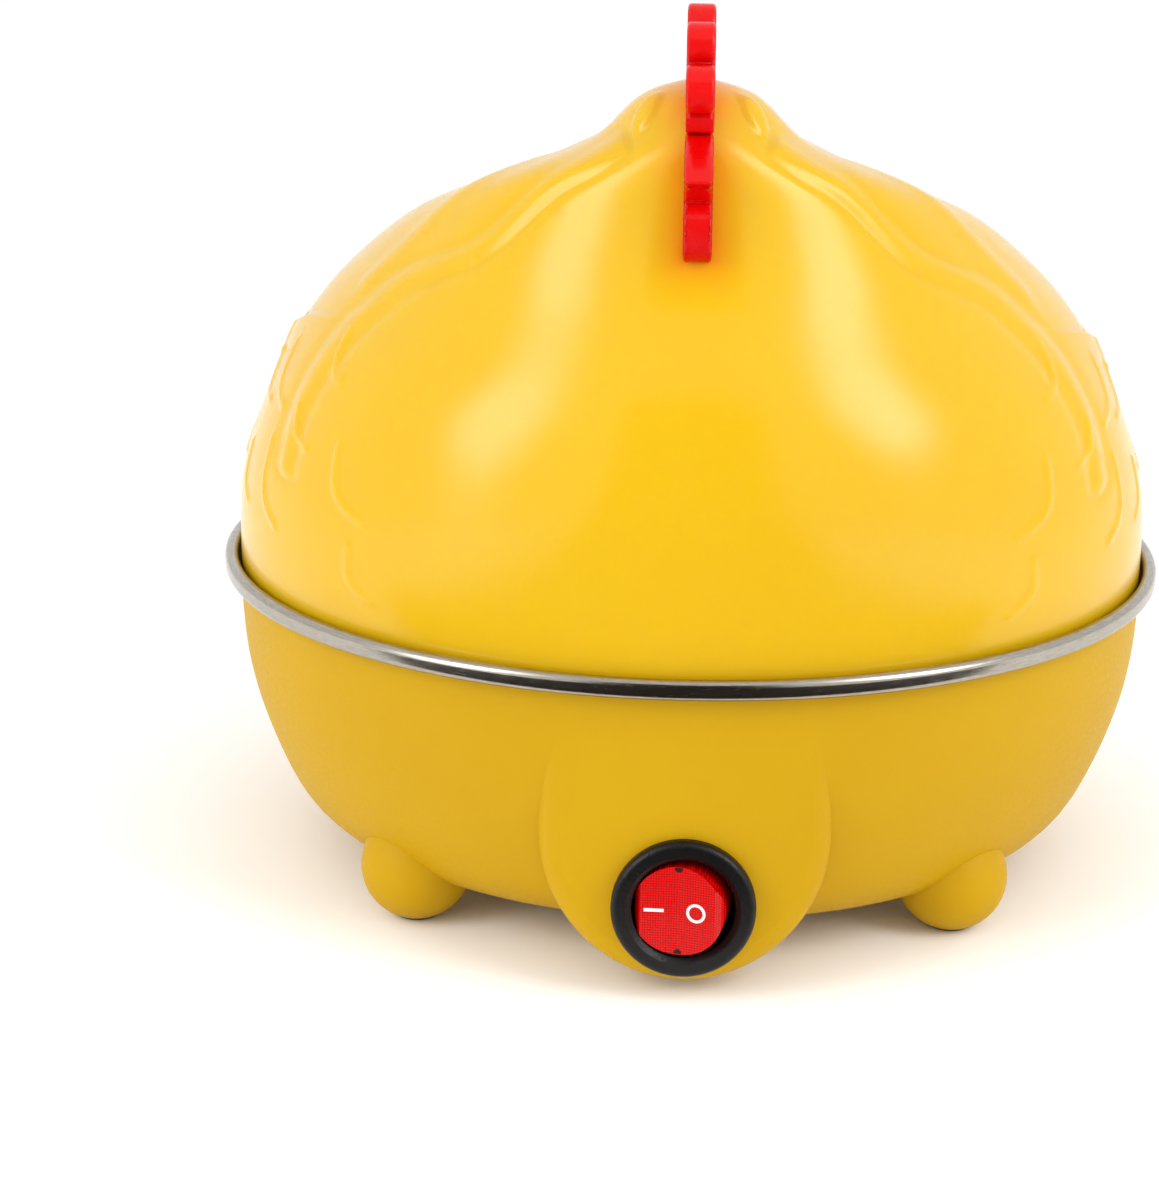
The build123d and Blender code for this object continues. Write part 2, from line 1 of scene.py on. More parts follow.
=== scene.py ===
"""Looks of the hen-shaped egg cooker: lid with its relief, finishes, light and camera. Metres, +Z up, front at -Y."""
import json
import math

import bpy
import numpy as np
from mathutils import Matrix, Vector


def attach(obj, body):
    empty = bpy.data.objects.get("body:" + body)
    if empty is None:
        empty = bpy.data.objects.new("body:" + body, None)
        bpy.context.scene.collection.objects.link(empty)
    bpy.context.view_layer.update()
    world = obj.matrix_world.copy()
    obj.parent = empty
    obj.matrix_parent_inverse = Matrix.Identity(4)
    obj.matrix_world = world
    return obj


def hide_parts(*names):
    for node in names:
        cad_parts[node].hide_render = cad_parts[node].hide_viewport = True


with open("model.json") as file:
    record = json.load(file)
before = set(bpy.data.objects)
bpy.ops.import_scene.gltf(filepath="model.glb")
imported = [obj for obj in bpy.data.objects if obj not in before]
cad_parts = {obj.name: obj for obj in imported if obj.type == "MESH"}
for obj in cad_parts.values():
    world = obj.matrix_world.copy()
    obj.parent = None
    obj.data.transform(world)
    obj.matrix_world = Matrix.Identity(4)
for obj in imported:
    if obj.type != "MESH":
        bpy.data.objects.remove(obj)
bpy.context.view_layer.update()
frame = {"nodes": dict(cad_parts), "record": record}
nodes = frame["nodes"]
MM = 0.001

# ------------------------------------------------------------------ shape helpers


def natural_spline(knots, values, at):
    """Natural cubic spline through rows of values, read at the given places."""
    knots = np.asarray(knots, float)
    values = np.asarray(values, float).reshape(len(knots), -1)
    n = len(knots)
    h = np.diff(knots)
    matrix = np.eye(n)
    right = np.zeros_like(values)
    for i in range(1, n - 1):
        matrix[i, i - 1:i + 2] = h[i - 1], 2 * (h[i - 1] + h[i]), h[i]
        right[i] = 6 * ((values[i + 1] - values[i]) / h[i] - (values[i] - values[i - 1]) / h[i - 1])
    bend = np.linalg.solve(matrix, right)
    k = np.clip(np.searchsorted(knots, at) - 1, 0, n - 2)
    a = ((knots[k + 1] - at) / h[k])[:, None]
    b = ((at - knots[k]) / h[k])[:, None]
    curve = (a ** 3 - a) * bend[k] + (b ** 3 - b) * bend[k + 1]
    return a * values[k] + b * values[k + 1] + curve * (h[k] ** 2 / 6)[:, None]


def smooth(low, high, x):
    """0 below low, 1 above high, and an easy rise between."""
    t = np.clip((x - low) / (high - low), 0, 1)
    return t * t * (3 - 2 * t)


def line_distance(y, z, points):
    """Distance of every (y, z) from a row of points joined by straight lines."""
    best = np.full(y.shape, 1e9)
    for (a, b), (c, d) in zip(points[:-1], points[1:]):
        run = max((c - a) ** 2 + (d - b) ** 2, 1e-12)
        t = np.clip(((y - a) * (c - a) + (z - b) * (d - b)) / run, 0, 1)
        best = np.minimum(best, np.hypot(y - a - t * (c - a), z - b - t * (d - b)))
    return best


def inside(y, z, points):
    """True where (y, z) lies inside the closed outline."""
    result = np.zeros(y.shape, bool)
    for (a, b), (c, d) in zip(points, points[1:] + points[:1]):
        if b == d:
            continue
        crosses = ((b > z) != (d > z)) & (y < a + (z - b) * (c - a) / (d - b))
        result ^= crosses
    return result


def curve_through(points, count):
    """Smooth row of points through the given ones."""
    points = np.asarray(points, float)
    place = np.r_[0, np.cumsum(np.hypot(*np.diff(points, axis=0).T))]
    return [tuple(p) for p in natural_spline(place, points, np.linspace(0, place[-1], count))]


def mesh_object(name, points, faces, smooth_faces=True):
    """New mesh object in the scene."""
    mesh = bpy.data.meshes.new(name)
    mesh.from_pydata([tuple(p) for p in points], [], faces)
    mesh.update()
    if smooth_faces:
        mesh.polygons.foreach_set("use_smooth", [True] * len(mesh.polygons))
    made = bpy.data.objects.new(name, mesh)
    bpy.context.scene.collection.objects.link(made)
    return made


# ------------------------------------------------------------------ lid, millimetres

RIM_Z = 53.4
LID_FRONT = [(-82.0, -0.5), (-82.1, 5), (-81.9, 12), (-81, 26), (-78, 40), (-73, 50), (-69, 57.5), (-66.5, 64.5),
             (-64.6, 71.5), (-63.4, 77.5), (-61.6, 82.5), (-58.5, 86.3), (-54, 89.4), (-50.5, 90.3)]
LID_BACK = [(82.0, -0.5), (81.5, 5.5), (80.4, 14), (77.6, 27), (71, 39.5), (62, 49.5), (49, 56), (30, 61.8),
            (8, 66), (-9, 70.5), (-21, 78), (-31, 84.3), (-40, 89.0), (-44.5, 90.2)]
LID_HALF_WIDTH = [82.0, 82.0, 81.6, 77.9, 71.7, 64.5, 57.5, 50.0, 41.6, 30.8, 17.6, 12.1, 6.4, 2.8]
LID_REAR_SWELL = [0, 0, 0, 0, 0, 0.03, 0.05, 0.08, 0.10, 0.08, 0.05, 0, 0, 0]
LID_WALL = 2.0
AROUND = 900
ALONG = 420

# Wing outline in side view: distance along a line 15 degrees forward of sideways, and height.
WING_TOP = [(-40, 115.5), (-35, 111.5), (-29, 107.2), (-22, 103.6), (-12, 101), (0, 98.8), (11.2, 96),
            (22.8, 91.8), (34.7, 87.2), (46.5, 80.9), (58.4, 74.2), (66.7, 68)]
WING_BOTTOM = [(66.7, 68), (55, 64.5), (30, 63.5), (5, 64), (-15, 65.5), (-27, 68.5)]
WING_FRONT = [(-27, 68.5), (-35, 73.5), (-42, 80.5), (-46.5, 87.5), (-49.0, 95.5), (-47.8, 102.5), (-43.5, 110),
              (-40, 115.8)]
FEATHERS = [(-36.6, 83.9, -45.5, 73.0), (-20.8, 87.7, -27.7, 81.5), (-12.5, 80.2, -21.8, 66.9),
            (-3.0, 94.8, -12.5, 85.6), (21.1, 83.9, 12.2, 72.3), (-43.2, 68.5, -47.9, 60.4),
            (8.0, 91.0, -2.0, 84.5), (36.0, 80.0, 29.0, 71.5), (2.0, 76.0, -5.5, 67.5), (-24.0, 100.0, -31.0, 93.0),
            (14.0, 96.0, 8.5, 91.0), (45.0, 76.0, 40.0, 68.5)]
NECK_FOLD = [(-28.0, 131.0), (-25.5, 124.0), (-21.5, 115.5), (-16.5, 108.0)]
# Line from the neck over the shoulder, as half width and height.
SHOULDER_LINE = [(12.5, 134.5), (17.0, 131.5), (22.0, 128.5), (28.5, 122.5), (35.0, 116.5), (47.8, 109.5),
                 (53.8, 104.4), (60.0, 97.8), (64.4, 91.0), (67.2, 84.5), (68.8, 77.0)]
COMB_LINE = [(-66.0, 140.0), (-36.0, 142.5)]
BEAK_LINE = [(-63.5, 137.0), (-66.5, 118.0)]
TAIL_LINE = [(40.6, 110.0), (58, 100), (68, 89), (77.4, 80.4)]


def lid_surface():
    """Grid of points on the lid's outside, from the rim (row 0) to the crown (last row)."""
    front = np.array(LID_FRONT)
    back = np.array(LID_BACK)
    width = np.array(LID_HALF_WIDTH)
    swell = np.array(LID_REAR_SWELL)
    middle = (front + back) / 2
    steps = np.hypot(*np.diff(middle, axis=0).T) + 0.3 * np.abs(np.diff(width))
    place = np.r_[0, np.cumsum(steps)]
    turn = np.linspace(0, 2 * math.pi, AROUND, endpoint=False)
    along = np.cos(turn)
    rows = []
    for (yf, zf), (yb, zb), w, k in zip(front, back, width, swell):
        x = w * np.sin(turn) * (1 + k * along)
        y = (yf + yb) / 2 + (yb - yf) / 2 * along
        z = RIM_Z + (zf + zb) / 2 + (zb - zf) / 2 * along
        rows.append(np.stack([x, y, z], -1).ravel())
    at = np.linspace(0, place[-1], ALONG)
    return natural_spline(place, rows, at).reshape(ALONG, AROUND, 3)


def normals(grid):
    """Outward normals of a grid of points that closes round each row."""
    around = np.roll(grid, -1, 1) - np.roll(grid, 1, 1)
    up = np.gradient(grid, axis=0)
    n = np.cross(around, up)
    n /= np.linalg.norm(n, axis=2, keepdims=True) + 1e-12
    middle = grid.mean(axis=(0, 1))
    if np.median(((grid - middle) * n).sum(2)) < 0:
        n = -n
    return n


def relief(grid):
    """Height of the moulded wings, feathers, neck folds and eyes above the lid's plain surface."""
    x, y, z = grid[..., 0], grid[..., 1], grid[..., 2]
    side = y * math.cos(math.radians(15)) + np.abs(x) * math.sin(math.radians(15))
    off_centre = smooth(8, 16, np.abs(x))
    outline = curve_through(WING_TOP, 60) + curve_through(WING_BOTTOM, 30)[1:] + curve_through(WING_FRONT, 40)[1:-1]
    distance = line_distance(side, z, outline + outline[:1])
    within = inside(side, z, outline)
    signed = np.where(within, distance, -distance)
    from_top = line_distance(side, z, curve_through(WING_TOP, 60))
    strength = 0.12 + 0.88 * np.exp(-(from_top / 6) ** 2)
    strength = strength * (0.1 + 0.9 * smooth(-34, -6, y))
    step = smooth(-0.35, 0.75, signed) * (0.35 + 0.65 * np.exp(-np.maximum(signed, 0) / 9))
    height = 0.85 * strength * step
    height -= 0.22 * strength * np.exp(-((signed + 0.8) / 0.7) ** 2)
    for y0, z0, y1, z1 in FEATHERS:
        length = math.hypot(y1 - y0, z1 - z0)
        bulge = (0.22 * length * (z0 - z1) / length, -0.22 * length * (y0 - y1) / length)
        arc = curve_through([(y0, z0), ((y0 + y1) / 2 + bulge[0], (z0 + z1) / 2 + bulge[1]), (y1, z1)], 12)
        height += 0.34 * np.exp(-(line_distance(side, z, arc) / 0.75) ** 2)
    fold = curve_through(NECK_FOLD, 20)
    height += 0.5 * np.exp(-(line_distance(side, z, fold) / 3.2) ** 2)
    height *= off_centre
    front_half = smooth(-20, -32, y)
    shoulder = line_distance(np.abs(x), z, curve_through(SHOULDER_LINE, 60))
    height += front_half * (0.32 * np.exp(-(shoulder / 1.0) ** 2) - 0.24 * np.exp(-((shoulder - 1.9) / 0.8) ** 2))
    for sign in (-1, 1):
        offset = grid - np.array([sign * 8.8, -54.9, 139.4])
        long_way = np.array([-sign * 0.5, 0.6, 0.62])
        along = offset @ (long_way / np.linalg.norm(long_way))
        across = np.sqrt(np.maximum((offset ** 2).sum(2) - along ** 2, 0))
        oval = (along / 4.2) ** 2 + (across / 2.2) ** 2
        height += 0.75 * np.exp(-oval ** 2.5)
    return height


def lid_mesh():
    """The lid's outside with its relief, thickened inwards to the wall."""
    grid = lid_surface()
    grid = grid + normals(grid) * relief(grid)[..., None]
    x, y, z = grid[..., 0], grid[..., 1], grid[..., 2]
    # Closeness to the comb, beak and tail, kept as the "glow" attribute: it paints the red plates' reflection into the
    # lid's colour.
    near = np.minimum(line_distance(y, z, COMB_LINE), line_distance(y, z, BEAK_LINE))
    near = np.minimum(near, line_distance(y, z, TAIL_LINE))
    glow = np.exp(-np.hypot(near, np.maximum(np.abs(x) - 2.2, 0)) / 4.5)
    points = np.vstack([grid.reshape(-1, 3), grid[-1].mean(axis=0)[None]]) * MM
    faces = []
    for i in range(ALONG - 1):
        for j in range(AROUND):
            k = (j + 1) % AROUND
            faces.append((i * AROUND + j, i * AROUND + k, (i + 1) * AROUND + k, (i + 1) * AROUND + j))
    top = (ALONG - 1) * AROUND
    faces += [(top + j, top + (j + 1) % AROUND, len(points) - 1) for j in range(AROUND)]
    made = mesh_object("hen_lid", points, faces)
    attribute = made.data.attributes.new("glow", "FLOAT", "POINT")
    attribute.data.foreach_set("value", np.r_[glow.ravel(), glow[-1].mean()].astype(np.float32))
    if made.data.polygons[0].normal.dot(made.data.polygons[0].center - Vector((0, 0, 0.05))) < 0:
        made.data.flip_normals()
    wall = made.modifiers.new("wall", "SOLIDIFY")
    wall.thickness = LID_WALL * MM
    wall.offset = -1
    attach(made, "lid")
    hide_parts("lid_shell")
    return made


# ------------------------------------------------------------------ bowl with its rolled rim

BOWL_TOP = [(0, 31), (65.2, 31), (66.1, 31.4), (66.7, 32.4), (71.6, 48.6), (72.2, 49.5), (73, 49.8), (76.2, 49.8),
            (76.9, 50.3), (77.3, 52.0), (77.9, 52.6)]
BOWL_UNDER = [(82.6, 51.8), (78.6, 51.8), (78.1, 51.4), (77.7, 49.7), (76.8, 49.0), (73.2, 49.0), (72.6, 48.6),
              (67.5, 32.0), (66.6, 30.6), (65.2, 30.2), (0, 30.2)]
BEAD = (83.8, 53.4, 1.2, 1.7, 1.15)  # middle radius and height, half width, half height, corner radius
BEAD_KEPT = 45                       # points of the section that lie outside the flange


def bead_points():
    """Section of the rolled rim from its inner side over the top and round to its underside."""
    r0, z0, half_w, half_h, corner = BEAD
    points = []
    for start, sr, sz in ((180, -1, 1), (90, 1, 1), (0, 1, -1), (-90, -1, -1)):
        for i in range(13):
            a = math.radians(start - 90 * i / 12)
            centre = (r0 + sr * (half_w - corner), z0 + sz * (half_h - corner))
            points.append((centre[0] + corner * math.cos(a), centre[1] + corner * math.sin(a)))
    return points[:BEAD_KEPT]


def bowl_mesh():
    """Steel bowl, turned about the axis from its section."""
    section = BOWL_TOP + [(82.6, 52.6)] + bead_points() + BOWL_UNDER
    count = 540
    inner = section[1:-1]
    points = [(0, 0, section[0][1] * MM), (0, 0, section[-1][1] * MM)]
    for r, z in inner:
        for j in range(count):
            a = 2 * math.pi * j / count
            points.append((r * MM * math.cos(a), r * MM * math.sin(a), z * MM))
    faces = []
    for j in range(count):
        k = (j + 1) % count
        faces.append((0, 2 + j, 2 + k))
        last = 2 + (len(inner) - 1) * count
        faces.append((1, last + k, last + j))
        for i in range(len(inner) - 1):
            a, b = 2 + i * count, 2 + (i + 1) * count
            faces.append((a + j, b + j, b + k, a + k))
    made = mesh_object("steel_bowl", points, faces)
    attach(made, "base")
    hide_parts("heating_bowl")
    return made


# ------------------------------------------------------------------ finishes


class Finish:
    """Small helper that strings shader nodes together for one material."""

    def __init__(self, name):
        self.material = bpy.data.materials.new(name)
        self.material.use_nodes = True
        self.tree = self.material.node_tree
        self.tree.nodes.clear()
        self.shader = self.node("ShaderNodeBsdfPrincipled")
        out = self.node("ShaderNodeOutputMaterial")
        self.join(self.shader, 0, out, "Surface")
        self.place = self.node("ShaderNodeTexCoord")

    def node(self, kind, **settings):
        made = self.tree.nodes.new(kind)
        for key, value in settings.items():
            setattr(made, key, value)
        return made

    def join(self, a, out, b, into):
        self.tree.links.new(a.outputs[out], b.inputs[into])

    def noise(self, scale, detail=3.0, rough=0.5, stretch=None):
        made = self.node("ShaderNodeTexNoise")
        made.inputs["Scale"].default_value = scale
        made.inputs["Detail"].default_value = detail
        made.inputs["Roughness"].default_value = rough
        if stretch:
            mapping = self.node("ShaderNodeMapping")
            mapping.inputs["Scale"].default_value = stretch
            self.join(self.place, "Object", mapping, "Vector")
            self.join(mapping, 0, made, "Vector")
        else:
            self.join(self.place, "Object", made, "Vector")
        return made

    def ramp(self, source, out, low, high, at=(0.0, 1.0)):
        made = self.node("ShaderNodeMapRange")
        made.inputs["From Min"].default_value = at[0]
        made.inputs["From Max"].default_value = at[1]
        made.inputs["To Min"].default_value = low
        made.inputs["To Max"].default_value = high
        self.join(source, out, made, "Value")
        return made

    def mix(self, factor, out, a, b):
        """Colour a where the factor is 0 and b where it is 1; a and b are colours or nodes."""
        made = self.node("ShaderNodeMix", data_type="RGBA")
        self.join(factor, out, made, 0)
        for socket, value in ((6, a), (7, b)):
            if isinstance(value, (tuple, list)):
                made.inputs[socket].default_value = value
            else:
                self.tree.links.new(value.outputs[2 if value.bl_idname == "ShaderNodeMix" else 0], made.inputs[socket])
        return made

    def colour(self, mixed):
        self.tree.links.new(mixed.outputs[2], self.shader.inputs["Base Color"])

    def bump(self, source, out, strength, distance):
        made = self.node("ShaderNodeBump")
        made.inputs["Strength"].default_value = strength
        made.inputs["Distance"].default_value = distance
        self.join(source, out, made, "Height")
        self.join(made, 0, self.shader, "Normal")
        return made

    def set(self, **values):
        """Fixed values of the shader; an underscore stands for a space in the name."""
        for key, value in values.items():
            self.shader.inputs[key.replace("_", " ")].default_value = value
        return self


def rgb(r, g, b):
    """Scene colour from a display colour of 0 to 255."""
    return tuple(((c / 255 + 0.055) / 1.055) ** 2.4 if c > 10 else c / 255 / 12.92 for c in (r, g, b)) + (1.0,)


def plastic(name, colour, darker, rough, grain=900.0, grain_depth=0.02, coat=0.0, through=0.0, shine=0.5):
    """Moulded plastic or rubber: two close tones in soft clouds, and a fine grain."""
    made = Finish(name)
    made.set(IOR=1.35, Specular_IOR_Level=shine)
    cloud = made.noise(18.0, 3.0)
    made.colour(made.mix(made.ramp(cloud, 0, 0.0, 1.0, (0.3, 0.7)), 0, colour, darker))
    fine = made.noise(grain, 2.0)
    spread = made.ramp(fine, 0, rough * 0.85, rough * 1.2, (0.3, 0.7))
    made.join(spread, 0, made.shader, "Roughness")
    made.bump(fine, 0, grain_depth, 0.0003)
    made.set(Coat_Weight=coat, Coat_Roughness=0.08, Subsurface_Weight=through, Subsurface_Scale=0.004)
    made.shader.inputs["Subsurface Radius"].default_value = (1.0, 0.55, 0.12)
    return made


def metal(name, colour, darker, rough, stretch, grain=400.0, depth=0.05):
    """Metal with a brushed or rolled grain, drawn out by stretch."""
    made = Finish(name)
    streak = made.noise(grain, 4.0, 0.6, stretch)
    made.colour(made.mix(made.ramp(streak, 0, 0.0, 1.0, (0.35, 0.65)), 0, colour, darker))
    made.join(made.ramp(streak, 0, rough * 0.7, rough * 1.4, (0.3, 0.7)), 0, made.shader, "Roughness")
    made.bump(streak, 0, depth, 0.0002)
    made.set(Metallic=1.0)
    return made


def lid_finish():
    """Glossy yellow plastic that lets a little light in, with a painted red reflection: warmer where the red plates
    stand in it.
    """
    made = Finish("lid_yellow")
    cloud = made.noise(14.0, 3.0)
    base = made.mix(made.ramp(cloud, 0, 0.0, 1.0, (0.3, 0.7)), 0, rgb(213, 170, 14), rgb(210, 165, 11))
    # Painted reflection: the lid turns orange near the red plates, standing in for their red light seen in the glossy
    # yellow.
    glow = made.node("ShaderNodeAttribute", attribute_name="glow")
    painted_red_reflection = made.mix(made.ramp(glow, "Fac", 0.0, 0.75, (0.2, 1.0)), 0, base, rgb(226, 118, 10))
    made.colour(painted_red_reflection)
    fine = made.noise(260.0, 2.0)
    made.join(made.ramp(fine, 0, 0.15, 0.21, (0.3, 0.7)), 0, made.shader, "Roughness")
    made.bump(made.noise(55.0, 2.0), 0, 0.03, 0.0004)
    made.set(Subsurface_Weight=0.35, Subsurface_Scale=0.005, IOR=1.4)
    made.shader.inputs["Subsurface Radius"].default_value = (1.0, 0.6, 0.12)
    return made


def rocker_finish():
    """Clear red key with fine prisms over its face."""
    made = Finish("rocker_red")
    mapping = made.node("ShaderNodeMapping")
    mapping.inputs["Scale"].default_value = (1 / 0.00042, 0.0, 1 / 0.00042)
    made.join(made.place, "Object", mapping, "Vector")
    cells = made.node("ShaderNodeTexVoronoi", voronoi_dimensions="3D", feature="F1", distance="CHEBYCHEV")
    cells.inputs["Randomness"].default_value = 0.0
    cells.inputs["Scale"].default_value = 1.0
    made.join(mapping, 0, cells, "Vector")
    made.colour(made.mix(made.ramp(cells, "Distance", 0.0, 1.0, (0.05, 0.5)), 0, rgb(244, 6, 4), rgb(150, 1, 1)))
    made.bump(cells, "Distance", 0.5, 0.00012)
    made.set(Roughness=0.2, Subsurface_Weight=0.2, Subsurface_Scale=0.002, Specular_IOR_Level=0.25)
    made.shader.inputs["Subsurface Radius"].default_value = (1.0, 0.1, 0.05)
    return made


FINISHES = {
    "lid_plastic": lid_finish(),
    "red_plastic": plastic("trim_red", rgb(208, 3, 3), rgb(194, 2, 2), 0.25, 500.0, 0.02, 0.1, 0.1, 0.35),
    "base_plastic": plastic("base_yellow", rgb(192, 151, 2), rgb(187, 145, 2), 0.5, 1400.0, 0.05, 0.0, 0.1, 0.25),
    "bowl_steel": metal("bowl_steel", rgb(176, 170, 160), rgb(158, 151, 140), 0.2, (1.0, 1.0, 14.0), 500.0, 0.008),
    "zinc_steel": metal("zinc_steel", rgb(186, 188, 190), rgb(150, 150, 146), 0.35, (1.0, 1.0, 1.0)),
    "tray_plastic": plastic("tray_white", rgb(214, 212, 204), rgb(204, 201, 190), 0.38, 900.0, 0.03, 0.0, 0.15),
    "rubber_black": plastic("rubber_black", rgb(34, 34, 34), rgb(24, 24, 24), 0.6, 1200.0, 0.15),
    "foot_rubber": plastic("foot_rubber", rgb(60, 58, 54), rgb(46, 44, 42), 0.7, 1200.0, 0.15),
    "gasket_silicone": plastic("gasket_silicone", rgb(216, 212, 200), rgb(200, 196, 184), 0.5, 800.0, 0.05),
    "heater_aluminium": metal("heater_aluminium", rgb(176, 178, 180), rgb(140, 142, 145), 0.45, (1.0, 1.0, 1.0),
                              700.0, 0.2),
    "mica": plastic("mica", rgb(176, 150, 104), rgb(150, 124, 82), 0.4, 300.0, 0.2),
    "thermostat_phenolic": plastic("thermostat_phenolic", rgb(52, 34, 26), rgb(38, 24, 18), 0.4, 900.0, 0.05),
    "sleeve_fibre": plastic("sleeve_fibre", rgb(222, 214, 196), rgb(196, 186, 164), 0.75, 700.0, 0.3),
    "block_plastic": plastic("block_plastic", rgb(232, 228, 214), rgb(220, 214, 196), 0.4, 900.0, 0.05),
    "switch_black": plastic("switch_black", rgb(15, 15, 15), rgb(9, 9, 9), 0.36, 2200.0, 0.3),
    "switch_brass": metal("switch_brass", rgb(206, 170, 92), rgb(176, 138, 70), 0.3, (1.0, 1.0, 1.0)),
    "rocker_red": rocker_finish(),
    "lamp_glass": plastic("lamp_glass", rgb(250, 150, 110), rgb(240, 120, 90), 0.1, 500.0, 0.02),
    "wire_brown": plastic("wire_brown", rgb(104, 62, 36), rgb(86, 50, 28), 0.45, 800.0, 0.05),
    "wire_blue": plastic("wire_blue", rgb(40, 92, 168), rgb(30, 78, 150), 0.45, 800.0, 0.05),
    "wire_sleeve": plastic("wire_sleeve", rgb(226, 222, 210), rgb(206, 200, 184), 0.6, 900.0, 0.2),
}


def coat_all():
    """Every CAD node takes the finish of its material slot."""
    for part in frame["record"]["subparts"]:
        node = nodes[part["node"]]
        node.data.materials.clear()
        node.data.materials.append(FINISHES[part["material_slot"]].material)


def soften(node, width, segments=3, angle=35):
    """Rounds a CAD node's sharp edges by a modifier, as moulded edges are."""
    weld = nodes[node].modifiers.new("weld", "WELD")
    weld.merge_threshold = 1e-5
    bevel = nodes[node].modifiers.new("round", "BEVEL")
    bevel.width = width * MM
    bevel.segments = segments
    bevel.limit_method = "ANGLE"
    bevel.angle_limit = math.radians(angle)
    bevel.use_clamp_overlap = False
    bevel.harden_normals = False


# ------------------------------------------------------------------ switch marks

ROCKER_PIVOT = Vector((0, -79.4, 16.3)) * MM
ROCKER_TILT = math.radians(11)
ROCKER_VEE = math.radians(8)
ROCKER_FACE_Y = -83.7


def on_key(obj, side, along):
    """Lays a mark, made flat in X-Z and facing -Y, on the key's left (-1) or right (+1) half."""
    lean = Matrix.Rotation(-side * ROCKER_VEE, 4, "Z")
    face = Matrix.Translation(Vector((0, ROCKER_FACE_Y - 0.02, 16.3)) * MM)
    tilt = Matrix.Translation(ROCKER_PIVOT) @ Matrix.Rotation(-ROCKER_TILT, 4, "Z") @ Matrix.Translation(-ROCKER_PIVOT)
    obj.matrix_world = tilt @ face @ lean @ Matrix.Translation((side * along * MM, 0, 0))


def mark_dash():
    """Short dash: the generic 'on' line."""
    w, h, t = 1.6 * MM, 0.26 * MM, 0.08 * MM
    points = [(x, y, z) for y in (-t, t) for x, z in ((-w, -h), (w, -h), (w, h), (-w, h))]
    faces = [(0, 1, 2, 3), (7, 6, 5, 4), (0, 4, 5, 1), (1, 5, 6, 2), (2, 6, 7, 3), (3, 7, 4, 0)]
    made = mesh_object("rocker_mark_line", points, faces, False)
    on_key(made, -1, 3.9)
    return made


def mark_ring():
    """Plain ring: the generic 'off' circle."""
    outer, inner, t, count = 1.6 * MM, 1.15 * MM, 0.08 * MM, 64
    points = []
    faces = []
    for i in range(count):
        a = 2 * math.pi * i / count
        for radius, y in ((outer, -t), (inner, -t), (inner, t), (outer, t)):
            points.append((radius * math.cos(a), y, radius * math.sin(a)))
    for i in range(count):
        a, b = 4 * i, 4 * ((i + 1) % count)
        faces += [(a + k, a + (k + 1) % 4, b + (k + 1) % 4, b + k) for k in range(4)]
    made = mesh_object("rocker_mark_ring", points, faces, False)
    on_key(made, 1, 3.0)
    return made


def key_notches():
    """Two thin dark red half-discs laid on the ends of the key's pivot line: painted shade of the small half-round
    notches there.
    """
    radius, t, count = 0.75 * MM, 0.07 * MM, 24
    points = []
    faces = []
    for end in (-1, 1):
        first = len(points)
        for y in (-t, t):
            for i in range(count + 1):
                a = math.pi * i / count
                points.append((radius * math.cos(a), y, end * (7.35 * MM - radius * math.sin(a))))
        n = count + 1
        faces += [tuple(first + i for i in range(n)), tuple(first + 2 * n - 1 - i for i in range(n))]
        faces += [(first + i, first + (i + 1) % n, first + n + (i + 1) % n, first + n + i) for i in range(n)]
    made = mesh_object("rocker_notches", points, faces, False)
    on_key(made, 0, 0)
    # Painted shade: flat dark red stands in for the shade inside the key's notches.
    painted_notch_shade = plastic("notch_painted_shade", rgb(58, 4, 4), rgb(40, 2, 2), 0.5, 900.0, 0.03)
    made.data.materials.append(painted_notch_shade.material)
    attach(made, "rocker")


def marks():
    """The key's two white marks."""
    white = plastic("mark_white", rgb(244, 238, 236), rgb(232, 224, 222), 0.4, 900.0, 0.03)
    for made in (mark_dash(), mark_ring()):
        made.data.materials.append(white.material)
        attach(made, "rocker")


# ------------------------------------------------------------------ stage, light, camera


def floor():
    """Plain pale floor."""
    size = 6.0
    made = mesh_object("floor", [(-size, -size, 0), (size, -size, 0), (size, size, 0), (-size, size, 0)],
                       [(0, 1, 2, 3)], False)
    pale = Finish("floor_white")
    soft = pale.noise(3.0, 2.0)
    pale.colour(pale.mix(soft, 0, rgb(254, 254, 254), rgb(252, 252, 252)))
    pale.set(Roughness=0.9)
    made.data.materials.append(pale.material)


def dark_front():
    """Dark cloth lying and hanging in front of the cooker. Only glossy surfaces show it, as a soft dark reflection."""
    half = 0.30
    profile = [(-0.11, 0.004), (-0.45, 0.004), (-0.72, 0.06), (-0.80, 0.25), (-0.80, 0.75)]
    points = [(x, y, z) for y, z in profile for x in (-half, half)]
    faces = [(2 * i, 2 * i + 1, 2 * i + 3, 2 * i + 2) for i in range(len(profile) - 1)]
    made = mesh_object("front_cloth", points, faces, False)
    cloth = Finish("front_cloth")
    weave = cloth.noise(40.0, 2.0)
    cloth.colour(cloth.mix(weave, 0, rgb(40, 34, 28), rgb(30, 26, 22)))
    cloth.set(Roughness=0.95, Specular_IOR_Level=0.1)
    made.data.materials.append(cloth.material)
    made.visible_camera = False
    made.visible_diffuse = False
    made.visible_shadow = False


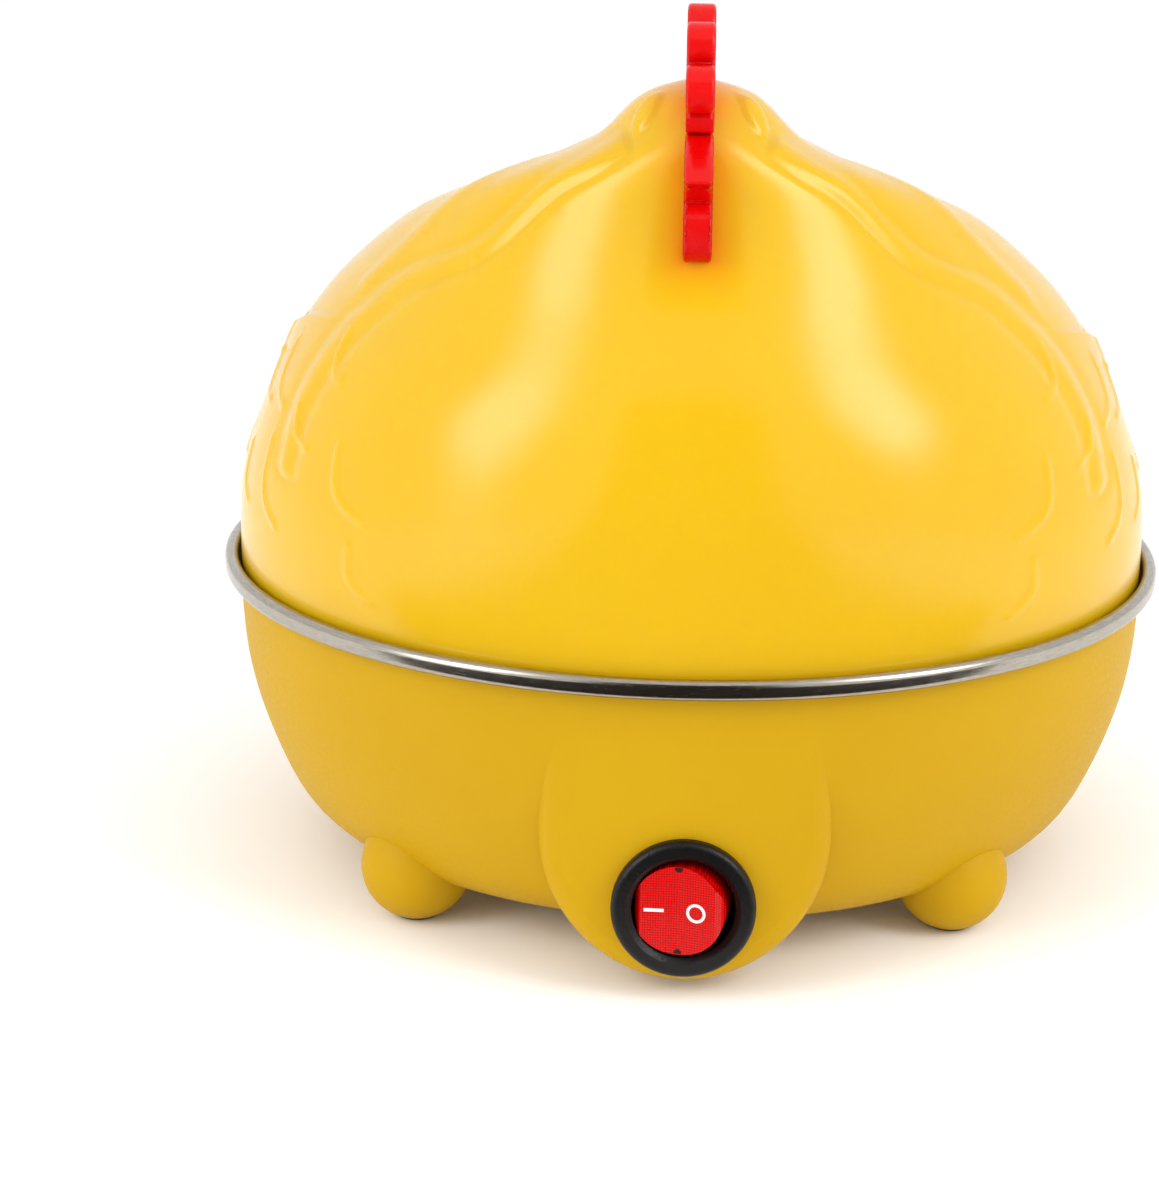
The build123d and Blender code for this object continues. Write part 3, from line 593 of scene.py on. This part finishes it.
def soft_panel(name, azimuth, elevation, distance, width, height, glow):
    """Light panel that fades towards its edges, so that glossy surfaces show it as a soft streak."""
    a, e = math.radians(azimuth), math.radians(elevation)
    place = Vector((math.sin(a) * math.cos(e), -math.cos(a) * math.cos(e), math.sin(e))) * distance
    turn = place.to_track_quat("Z", "Y").to_matrix().to_4x4()
    half = Vector((width / 2, height / 2))
    corners = [(-half.x, -half.y, 0), (half.x, -half.y, 0), (half.x, half.y, 0), (-half.x, half.y, 0)]
    made = mesh_object(name, corners, [(0, 1, 2, 3)], False)
    made.matrix_world = Matrix.Translation(place + Vector((0, 0, 0.08))) @ turn
    material = bpy.data.materials.new(name)
    material.use_nodes = True
    tree = material.node_tree
    tree.nodes.clear()
    out = tree.nodes.new("ShaderNodeOutputMaterial")
    shine = tree.nodes.new("ShaderNodeEmission")
    clear = tree.nodes.new("ShaderNodeBsdfTransparent")
    blend = tree.nodes.new("ShaderNodeMixShader")
    place_node = tree.nodes.new("ShaderNodeTexCoord")
    fit = tree.nodes.new("ShaderNodeMapping")
    fit.inputs["Scale"].default_value = (2 / width, 2 / height, 1)
    ball = tree.nodes.new("ShaderNodeTexGradient")
    ball.gradient_type = "QUADRATIC_SPHERE"
    fade = tree.nodes.new("ShaderNodeMapRange")
    fade.interpolation_type = "SMOOTHSTEP"
    fade.inputs["From Max"].default_value = 0.55
    shine.inputs["Strength"].default_value = glow
    for start, socket, end, into in ((place_node, "Object", fit, 0), (fit, 0, ball, 0), (ball, 1, fade, 0),
                                     (fade, 0, blend, 0), (clear, 0, blend, 1), (shine, 0, blend, 2),
                                     (blend, 0, out, 0)):
        tree.links.new(start.outputs[socket], end.inputs[into])
    made.data.materials.append(material)
    made.visible_camera = False


def studio():
    """White surroundings, a soft panel on each side, and the dark cloth in front."""
    world = bpy.data.worlds.new("studio")
    bpy.context.scene.world = world
    world.use_nodes = True
    back = world.node_tree.nodes["Background"]
    back.inputs["Color"].default_value = (1.0, 1.0, 1.0, 1.0)
    back.inputs["Strength"].default_value = 1.0
    soft_panel("panel_left", -56, 25, 1.2, 0.95, 1.9, 6.5)
    soft_panel("panel_right", 58, 32, 1.2, 0.95, 1.7, 7.5)
    dark_front()


def camera():
    """Camera in front of the cooker and a little above it."""
    data = bpy.data.cameras.new("camera")
    data.sensor_width = 36.0
    data.lens = 81.87
    data.shift_x = -0.0929
    data.shift_y = -0.0455
    data.clip_start = 0.01
    made = bpy.data.objects.new("camera", data)
    target = Vector((0, 0, 0.0534))
    e = math.radians(15.6)
    away = Vector((0, -math.cos(e), math.sin(e)))
    made.location = target + away * 0.505
    turn = away.to_track_quat("Z", "Y").to_matrix().to_4x4()
    roll = Matrix.Rotation(math.radians(1.2), 4, "Z")
    made.matrix_world = Matrix.Translation(made.location) @ turn @ roll
    bpy.context.scene.collection.objects.link(made)
    bpy.context.scene.camera = made


bpy.context.scene.view_settings.view_transform = "Standard"
coat_all()
lid = lid_mesh()
lid.data.materials.append(FINISHES["lid_plastic"].material)
bowl_mesh().data.materials.append(FINISHES["bowl_steel"].material)
for plate in ("comb", "beak_and_wattle", "tail_handle"):
    soften(plate, 0.55)
marks()
key_notches()
floor()
studio()
camera()
